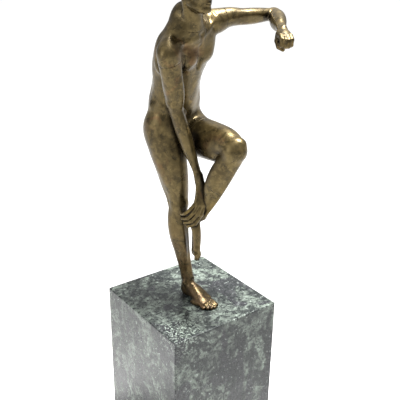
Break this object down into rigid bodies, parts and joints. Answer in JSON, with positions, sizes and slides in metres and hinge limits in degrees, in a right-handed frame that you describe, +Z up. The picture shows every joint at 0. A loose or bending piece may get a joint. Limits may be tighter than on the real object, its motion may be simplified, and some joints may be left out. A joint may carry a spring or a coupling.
{
  "type": "bronze statuette",
  "caption": "Desk bronze of a standing nude dancer who holds one raised ankle and lifts the other arm, on a square mottled green marble plinth.",
  "frame": {"origin": "middle of the felt's underside, which is the middle of the square plinth's footprint", "axes": "+Z up; the plinth's sides lie along X and Y; the figure's standing foot points mainly towards -Y, turned 17.5 degrees towards +X"},
  "size_m": [0.1014, 0.0891, 0.3106],
  "materials": {
    "marble": "honed and lightly polished, mottled grey-green with charcoal patches and thin dark veins",
    "felt": "short dense wool felt",
    "bronze": "olive-golden brown patina over cast bronze, waxed to a satin gloss, lighter on rubbed high points",
    "pin_bronze": "drawn bronze rod, bright under the patina",
    "steel": "zinc-plated steel"
  },
  "bodies": {
    "root": {"marble_plinth": "marble", "felt_pad": "felt", "body_casting": "bronze", "head_casting": "bronze", "raised_leg_casting": "bronze", "holding_arm_casting": "bronze", "raised_arm_casting": "bronze", "neck_pin": "pin_bronze", "raised_hip_pin": "pin_bronze", "holding_shoulder_pin": "pin_bronze", "raised_shoulder_pin": "pin_bronze", "foot_stud": "steel", "foot_dowel": "steel", "plain_washer": "steel", "spring_washer": "steel", "hex_nut": "steel"}
  },
  "joints": []
}
